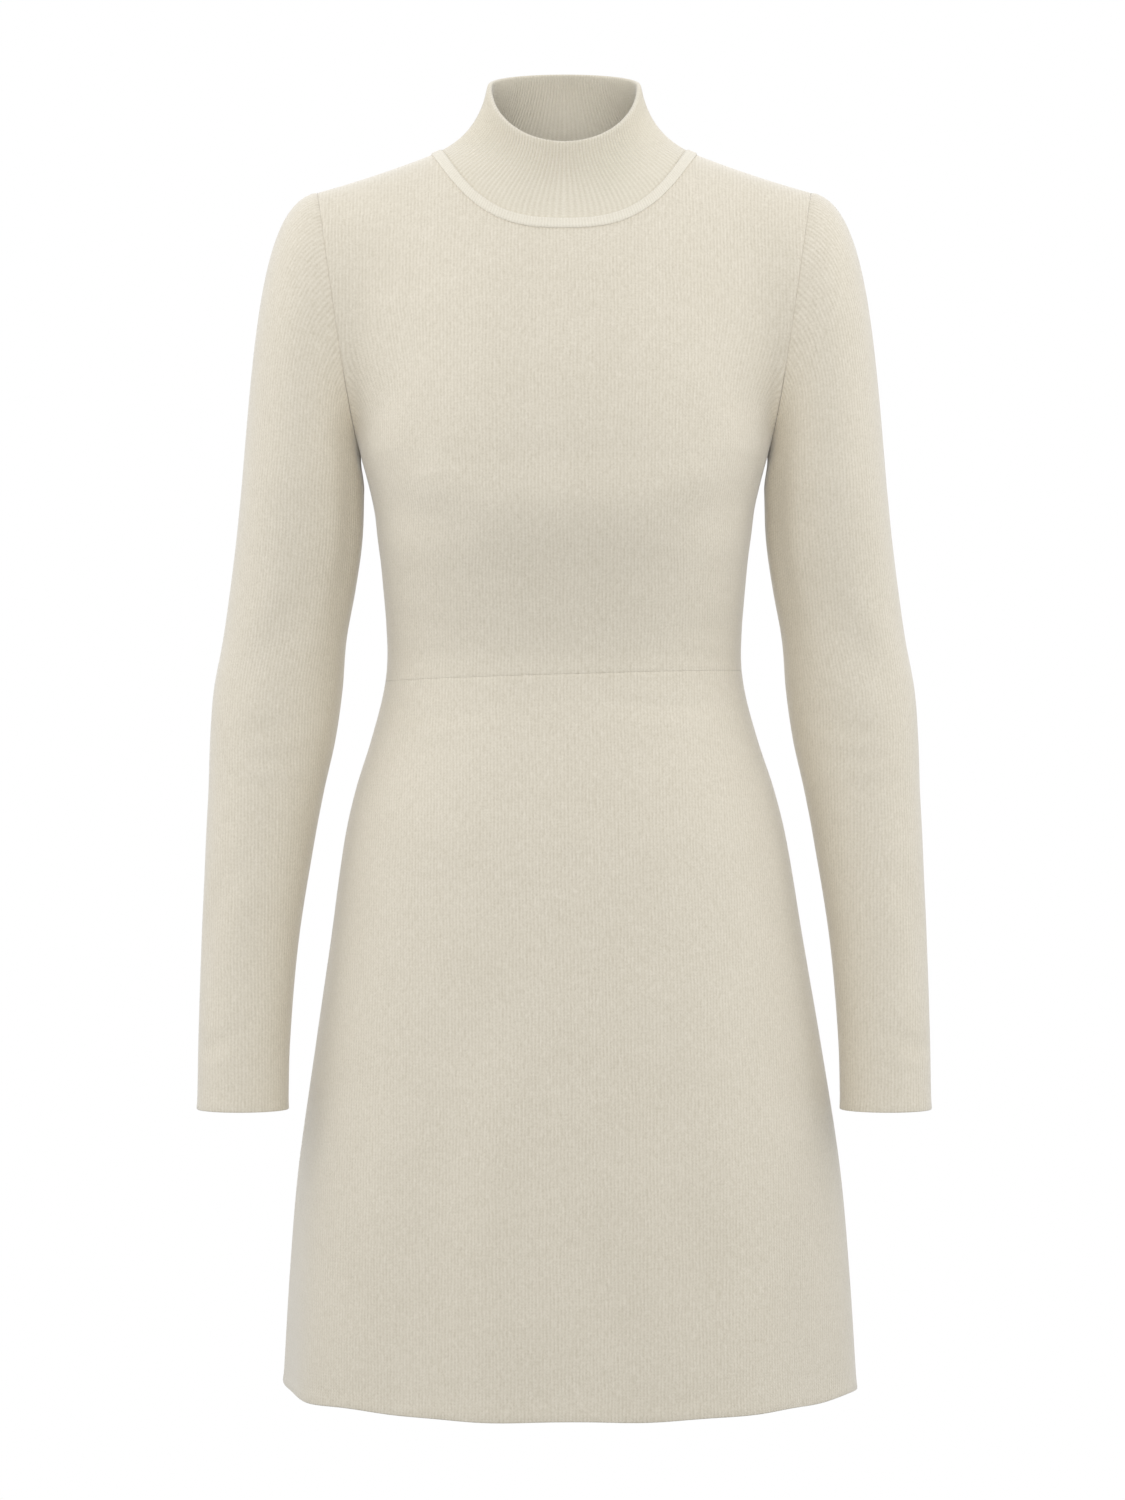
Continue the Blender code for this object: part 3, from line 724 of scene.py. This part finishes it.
def linear(hex_colour):
    """An sRGB hex colour as linear red, green, blue and alpha."""
    parts = [int(hex_colour[i:i + 2], 16) / 255 for i in (1, 3, 5)]
    return [p / 12.92 if p <= 0.04045 else ((p + 0.055) / 1.055)**2.4 for p in parts] + [1.0]


def add_node(tree, kind, links=(), **settings):
    """Adds a node; links are (its input, value), and a node stands for its first output."""
    node = tree.nodes.new(kind)
    for name, value in settings.items():
        setattr(node, name, value)
    for name, value in links:
        if isinstance(value, bpy.types.Node):
            value = value.outputs[0]
        if isinstance(value, bpy.types.NodeSocket):
            tree.links.new(value, node.inputs[name])
        else:
            node.inputs[name].default_value = value
    return node


def new_material(name, finish):
    """A node material with its finish set on its Principled shader."""
    material = bpy.data.materials.new(name)
    material.use_nodes = True
    tree = material.node_tree
    shader = tree.nodes["Principled BSDF"]
    for socket, value in finish:
        shader.inputs[socket].default_value = value
    return material, tree, shader


def added_up(tree, parts):
    """The parts, each times its weight, added up one after another."""
    total = 0.0
    for source, weight in parts:
        total = add_node(tree, "ShaderNodeMath", [(0, source), (1, weight), (2, total)],
                         operation="MULTIPLY_ADD")
    return total


def wave(tree, place, pitch):
    """A soft ridge, 0 to 1, that repeats once in each pitch of metres."""
    turn = add_node(tree, "ShaderNodeMath", [(0, place), (1, 2 * math.pi / pitch)],
                    operation="MULTIPLY")
    cosine = add_node(tree, "ShaderNodeMath", [(0, turn)], operation="COSINE")
    return add_node(tree, "ShaderNodeMath", [(0, cosine), (1, 0.5), (2, 0.5)],
                    operation="MULTIPLY_ADD")


KNIT_FINISH = (
    ("Roughness", 0.92),
    ("IOR", 1.45),
    ("Specular IOR Level", 0.18),
    ("Sheen Weight", 1.0),
    ("Sheen Roughness", 0.42),
    ("Sheen Tint", (1.0, 0.98, 0.94, 1.0)),
)
# patterns in the knit, as so many to the metre
WANDER = 22.0                   # wales drift sideways every 45 mm or so
CLOUDS = 26.0                   # paler and darker areas some 40 mm across
NEPS = 620.0                    # small knots of fibre, 1.6 mm apart
SLUBS = (650.0, 150.0, 1.0)     # thick places in the yarn, 1.5 mm wide and 7 mm long

WANDER_REACH = 0.0030           # how far a wale drifts, in metres
LOOP_LEAN = 0.55                # a course's rise across a wale, as a share of its pitch
TONE_SPREAD = 0.62              # half the way from shade to full colour, in summed tones


def knit_material(name, colour, shade, sizes, pitch, wale=0.85, speckle=1.6):
    """Fine-gauge cotton and viscose knit, plain stitch, dyed cream.

    Knitted loops stand in straight wales down the cloth, and the yarn's short fibres
    scatter light: the eye gets no gloss, a soft pale edge and fine uneven ribs. The
    colour is painted paler on the loops and darker between them, painted light and
    shade, and also varies with the yarn's own uneven tone.
    """
    material, tree, shader = new_material(name, KNIT_FINISH)
    flat = add_node(tree, "ShaderNodeUVMap", uv_map="knit")
    place = add_node(tree, "ShaderNodeSeparateXYZ", [("Vector", flat)])
    solid = add_node(tree, "ShaderNodeTexCoord").outputs["Object"]

    # each wale wanders a little, as hand-eased cloth does
    wander = add_node(tree, "ShaderNodeTexNoise", [("Vector", solid), ("Scale", WANDER),
                                                  ("Detail", 1.0)])
    wales = wave(tree, added_up(tree, [(place.outputs["X"], 1.0), (wander, WANDER_REACH)]),
                 pitch)
    # the arms of each loop lean, so the courses rise and fall across a wale
    lean = [(place.outputs["Y"], 1.0), (wales, LOOP_LEAN * sizes.course_pitch)]
    courses = wave(tree, added_up(tree, lean), sizes.course_pitch)

    # yarn that is thicker and thinner along its length, small neps and a cloudy dye
    stretched = add_node(tree, "ShaderNodeMapping", [("Vector", flat), ("Scale", SLUBS)])
    yarn = add_node(tree, "ShaderNodeTexNoise", [("Vector", stretched), ("Scale", 1.0),
                                                ("Detail", 2.0)])
    neps = add_node(tree, "ShaderNodeTexNoise", [("Vector", solid), ("Scale", NEPS),
                                                ("Detail", 2.0), ("Roughness", 0.65)])
    cloudy = add_node(tree, "ShaderNodeTexNoise", [("Vector", solid), ("Scale", CLOUDS),
                                                  ("Detail", 3.0)])

    # the wales and courses paint light on the loops and shade between them; the slubs, neps and
    # clouds are the yarn's own uneven tone
    painted_shade_and_tones = ((wales, 0.42 * wale), (courses, 0.14), (yarn, 0.55 * speckle),
             (neps, 1.00 * speckle), (cloudy, 0.30))
    middle = sum(weight for _, weight in painted_shade_and_tones) / 2
    spread = add_node(tree, "ShaderNodeMapRange", [("Value", added_up(tree, painted_shade_and_tones)),
                                                   ("From Min", middle - TONE_SPREAD),
                                                   ("From Max", middle + TONE_SPREAD)])
    colours = add_node(tree, "ShaderNodeMix", [("Factor", spread), (6, shade), (7, colour)],
                       data_type="RGBA")
    tree.links.new(colours.outputs[2], shader.inputs["Base Color"])

    height = added_up(tree, ((wales, 0.55 * wale), (courses, 0.16), (yarn, 0.30),
                             (neps, 0.55)))
    bump = add_node(tree, "ShaderNodeBump", [("Height", height), ("Strength", 0.55),
                                             ("Distance", sizes.loop_height)])
    tree.links.new(bump.outputs[0], shader.inputs["Normal"])
    return material


def floor_material(colour):
    """Matt painted board: an even grey surface with no gloss and a faint grain."""
    finish = (("Base Color", colour), ("Roughness", 0.9), ("Specular IOR Level", 0.1))
    material, tree, shader = new_material("floor_matt_paint", finish)
    solid = add_node(tree, "ShaderNodeTexCoord").outputs["Object"]
    grain = add_node(tree, "ShaderNodeTexNoise", [("Vector", solid), ("Scale", 60.0)])
    bump = add_node(tree, "ShaderNodeBump", [("Height", grain), ("Strength", 0.1),
                                             ("Distance", 0.0004)])
    tree.links.new(bump.outputs[0], shader.inputs["Normal"])
    return material


# ---- settings -----------------------------------------------------------------------

class DressSizes(bpy.types.PropertyGroup):
    """Sizes of the knit and its making up."""
    wall: FloatProperty(name="Cloth", description="Thickness of the single knit",
                        default=0.0017, unit="LENGTH")
    collar_wall: FloatProperty(name="Collar", description="Thickness of the doubled rib",
                               default=0.0029, unit="LENGTH")
    seam_gap: FloatProperty(name="Seam gap", description="How far each panel stops short",
                            default=0.00003, unit="LENGTH", precision=5)
    seam_depth: FloatProperty(name="Seam depth", description="Depth of a sewn seam's groove",
                              default=0.0003, unit="LENGTH")
    seam_width: FloatProperty(name="Seam width", description="Half width of the groove",
                              default=0.0013, unit="LENGTH")
    edge_fullness: FloatProperty(name="Edge fullness", description="Extra at hem and cuffs",
                                 default=0.0004, unit="LENGTH")
    crease: FloatProperty(name="Creases", description="Strength of the soft creases",
                          default=1.0, min=0.0, max=3.0)
    wale_pitch: FloatProperty(name="Wale pitch", default=0.0024, unit="LENGTH",
                              description="From one rib of the knit to the next; drawn "
                                          "about twice as coarse as the real 1.2 mm")
    course_pitch: FloatProperty(name="Course pitch", default=0.0019, unit="LENGTH",
                                description="From one row of loops to the next")
    loop_height: FloatProperty(name="Loop height", default=0.0005, unit="LENGTH",
                               description="How far the loops stand out")
    rib_count: IntProperty(name="Collar ribs", default=150, min=8,
                           description="Ribs round the collar, about 2.3 mm apart at its rim")
    rib_height: FloatProperty(name="Rib height", default=0.00060, unit="LENGTH",
                              description="How far the collar's ribs stand out")
    trim_width: FloatProperty(name="Trim width", default=0.0078, unit="LENGTH",
                              description="Width of the linked band round the neck")
    trim_inset: FloatProperty(name="Trim inset", default=0.0030, unit="LENGTH",
                              description="How much of the band lies on the collar's foot")
    trim_height: FloatProperty(name="Trim height", default=0.0007, unit="LENGTH",
                               description="How much fuller the band is than its edges")
    link_pitch: FloatProperty(name="Link pitch", default=0.0021, unit="LENGTH",
                              description="From one crossed linking stitch to the next")


class DressColours(bpy.types.PropertyGroup):
    """Colours of the yarn, with its painted light and shade, and of the stage."""
    # cream on the loops and shade between them are painted light and shade, and also the two
    # ends of the yarn's uneven tone
    cream: FloatVectorProperty(name="Cream", description="Lit side of the knit", size=4,
                               subtype="COLOR", default=linear("#EEE7D8"))
    shade: FloatVectorProperty(name="Shade", description="Between the loops", size=4,
                               subtype="COLOR", default=linear("#D4CCBA"))
    # collar on the ribs and collar shade between them are painted light and shade, and also the
    # two ends of the yarn's uneven tone
    collar: FloatVectorProperty(name="Collar", description="Lit side of the rib", size=4,
                                subtype="COLOR", default=linear("#F1EBDC"))
    collar_shade: FloatVectorProperty(name="Collar shade", description="Between the ribs",
                                      size=4, subtype="COLOR", default=linear("#D4CCB9"))
    # trim on its stitches and trim shade between them are painted light and shade, and also the
    # two ends of the yarn's uneven tone
    trim: FloatVectorProperty(name="Trim", description="The linked band", size=4,
                              subtype="COLOR", default=linear("#F8F3E6"))
    trim_shade: FloatVectorProperty(name="Trim shade", description="Between its stitches",
                                    size=4, subtype="COLOR", default=linear("#E0D9C8"))
    floor: FloatVectorProperty(name="Floor", description="The floor", size=4,
                               subtype="COLOR", default=linear("#848482"))


def settings():
    return bpy.context.scene.dress_sizes, bpy.context.scene.dress_colours


def shared_material(name, make):
    """The material of that name, made the first time it is asked for."""
    return bpy.data.materials.get(name) or make()


def jersey():
    sizes, colours = settings()
    return shared_material("cream_fine_gauge_knit", lambda: knit_material(
        "cream_fine_gauge_knit", colours.cream, colours.shade, sizes, sizes.wale_pitch))


def finish_piece(piece, node, material):
    """Puts a piece in place of its solid."""
    piece.data.materials.append(material)
    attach(piece, "root")
    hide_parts(node)


SEWN = {}                # the plain panels, worked out once


def sewn_cloths():
    """All the plain panels, once their shared seams face the same way."""
    if not SEWN:
        SEWN.update(bodice_front=bodice_cloth(FRONT), bodice_back=bodice_cloth(BACK),
                    skirt_front=skirt_cloth(FRONT), skirt_back=skirt_cloth(BACK),
                    sleeve_left=sleeve_cloth(LEFT), sleeve_right=sleeve_cloth(RIGHT))
        share_seams(list(SEWN.values()))
    return SEWN


class DressPiece:
    """What the operators that make pieces share."""
    bl_options = {"REGISTER", "UNDO"}

    def panel(self, node, creases, flat, held, rests_on=()):
        sizes, _ = settings()
        cloth = sewn_cloths()[node]
        height = seam_height(cloth, sizes)
        if cloth.folded:
            height = height + fold_height(cloth, sizes)
        # creases die away towards a seam, where the stitching holds the cloth
        height = height + (sizes.crease * crease_height(flat, creases)
                           * smooth(cloth.to_seam / HOLD_WIDTH))
        piece = closed_wall("dress_" + node, cloth, height, sizes.wall, sizes.seam_gap)
        finish_piece(piece, node, jersey())
        cloth.cut()
        cloth.area()


class DRESS_OT_bodice(DressPiece, bpy.types.Operator):
    """Knit the bodice: a front and a back, sewn at the sides and shoulders"""
    bl_idname = "dress.bodice"
    bl_label = "Bodice"

    def execute(self, context):
        for node, creases in (("bodice_front", FRONT_BODICE_CREASES),
                              ("bodice_back", BACK_BODICE_CREASES)):
            flat = sewn_cloths()[node].grid[..., (0, 2)]
            self.panel(node, creases, flat, "stretched")
        return {"FINISHED"}


class DRESS_OT_skirt(DressPiece, bpy.types.Operator):
    """Knit the skirt: a front and a back that flare to a folded hem"""
    bl_idname = "dress.skirt"
    bl_label = "Skirt"

    def execute(self, context):
        for node, creases, above in (("skirt_front", FRONT_SKIRT_CREASES, "bodice_front"),
                                     ("skirt_back", BACK_SKIRT_CREASES, "bodice_back")):
            flat = sewn_cloths()[node].grid[..., (0, 2)]
            self.panel(node, creases, flat, "hung", [above])
        return {"FINISHED"}


class DRESS_OT_sleeves(DressPiece, bpy.types.Operator):
    """Knit the two long sleeves, each a tube from its armhole to its folded cuff"""
    bl_idname = "dress.sleeves"
    bl_label = "Sleeves"

    def execute(self, context):
        for node in ("sleeve_left", "sleeve_right"):
            flat = sleeve_flat(sewn_cloths()[node])
            self.panel(node, SLEEVE_CREASES, flat, "hung", ["bodice_front", "bodice_back"])
        return {"FINISHED"}


class DRESS_OT_collar(DressPiece, bpy.types.Operator):
    """Knit the mock-neck collar in raised ribs, folded double at its rim"""
    bl_idname = "dress.collar"
    bl_label = "Collar"

    def execute(self, context):
        sizes, colours = settings()
        cloth = collar_cloth(4 * sizes.rib_count)
        piece = closed_wall("dress_collar", cloth, rib_height(cloth, sizes),
                            sizes.collar_wall, sizes.seam_gap)
        # the rib colour is painted paler on each raised rib and darker between the ribs:
        # painted light and shade, with the yarn's own uneven tone
        material = knit_material("cream_rib_knit", colours.collar, colours.collar_shade,
                                 sizes, 2 * math.pi / sizes.rib_count, wale=0.7,
                                 speckle=0.8)
        finish_piece(piece, "collar", material)
        cloth.area()
        return {"FINISHED"}


class DRESS_OT_neck_trim(DressPiece, bpy.types.Operator):
    """Link the pale band, with its crossed stitches, over the neck seam"""
    bl_idname = "dress.neck_trim"
    bl_label = "Neck trim"

    def execute(self, context):
        sizes, colours = settings()
        cloth = trim_cloth(sizes)
        flush = np.zeros(cloth.grid.shape[:2])
        piece = closed_wall("dress_neck_trim", cloth, flush, TRIM_WALL, 0.0)
        # the band's colour is painted paler on each linking stitch and darker between them:
        # painted light and shade, with the yarn's own uneven tone
        material = knit_material("pale_linked_band", colours.trim, colours.trim_shade,
                                 sizes, sizes.link_pitch, wale=0.9, speckle=0.5)
        finish_piece(piece, "neck_trim", material)
        return {"FINISHED"}


class DRESS_OT_stage(bpy.types.Operator):
    """Set out the floor, the soft studio light and the camera"""
    bl_idname = "dress.stage"
    bl_label = "Stage"

    def light(self, name, place, aim, size, power):
        data = bpy.data.lights.new(name, "AREA")
        data.shape = "RECTANGLE"
        data.size, data.size_y = size
        data.energy = power
        lamp = bpy.data.objects.new(name, data)
        bpy.context.scene.collection.objects.link(lamp)
        lamp.location = place
        away = np.array(place) - np.array(aim)
        level = math.hypot(away[0], away[1])
        lamp.rotation_euler = (math.atan2(level, away[2]), 0, math.atan2(away[0], -away[1]))

    def execute(self, context):
        _, colours = settings()
        scene = context.scene
        bpy.ops.object.select_all(action="DESELECT")
        bpy.ops.mesh.primitive_circle_add(vertices=96, radius=FLOOR_RADIUS,
                                          fill_type="NGON", location=(0, 0, FLOOR_Z))
        floor = context.object
        floor.name = floor.data.name = "studio_floor"
        bpy.ops.object.transform_apply(location=True, rotation=True, scale=True)
        floor.data.materials.append(floor_material(colours.floor))

        # the backdrop is white, and gives less light than it shows
        world = bpy.data.worlds.new("studio")
        world.use_nodes = True
        tree = world.node_tree
        seen = add_node(tree, "ShaderNodeLightPath").outputs["Is Camera Ray"]
        strength = add_node(tree, "ShaderNodeMath",
                            [(0, seen), (1, 1.0 - WORLD_LIGHT), (2, WORLD_LIGHT)],
                            operation="MULTIPLY_ADD")
        tree.links.new(strength.outputs[0], tree.nodes["Background"].inputs["Strength"])
        tree.nodes["Background"].inputs["Color"].default_value = (1, 1, 1, 1)
        scene.world = world
        scene.view_settings.view_transform = "Standard"

        for name, place, aim, size, power in LIGHTS:
            self.light(name, place, aim, size, power)

        camera = bpy.data.cameras.new("camera")
        camera.sensor_fit = "AUTO"
        camera.sensor_width = SENSOR
        camera.lens = SENSOR * CAMERA_AWAY / VIEW_HEIGHT
        camera.clip_end = 50.0
        stand = bpy.data.objects.new("camera", camera)
        scene.collection.objects.link(stand)
        stand.location = (CAMERA_X, -CAMERA_AWAY, CAMERA_Z)
        stand.rotation_euler = (math.radians(90), 0, 0)
        scene.camera = stand
        return {"FINISHED"}


PIECES = (DRESS_OT_stage, DRESS_OT_bodice, DRESS_OT_skirt, DRESS_OT_sleeves,
          DRESS_OT_collar, DRESS_OT_neck_trim)


class DRESS_PT_panel(bpy.types.Panel):
    """Lists the dress's settings and the operators that make its pieces"""
    bl_idname = "DRESS_PT_panel"
    bl_label = "Sweater dress"
    bl_space_type = "VIEW_3D"
    bl_region_type = "UI"
    bl_category = "Dress"

    def draw(self, context):
        for piece in PIECES:
            self.layout.operator(piece.bl_idname)
        for group in (context.scene.dress_sizes, context.scene.dress_colours):
            box = self.layout.box()
            for name in group.__annotations__:
                box.prop(group, name)


CLASSES = (DressSizes, DressColours) + PIECES + (DRESS_PT_panel,)


def register():
    for made in CLASSES:
        bpy.utils.register_class(made)
    bpy.types.Scene.dress_sizes = PointerProperty(type=DressSizes)
    bpy.types.Scene.dress_colours = PointerProperty(type=DressColours)


def unregister():
    del bpy.types.Scene.dress_colours
    del bpy.types.Scene.dress_sizes
    for made in reversed(CLASSES):
        bpy.utils.unregister_class(made)


def main():
    register()
    bpy.ops.dress.stage()
    bpy.ops.dress.bodice()
    bpy.ops.dress.skirt()
    bpy.ops.dress.sleeves()
    bpy.ops.dress.neck_trim()
    bpy.ops.dress.collar()


if __name__ == "__main__":
    main()
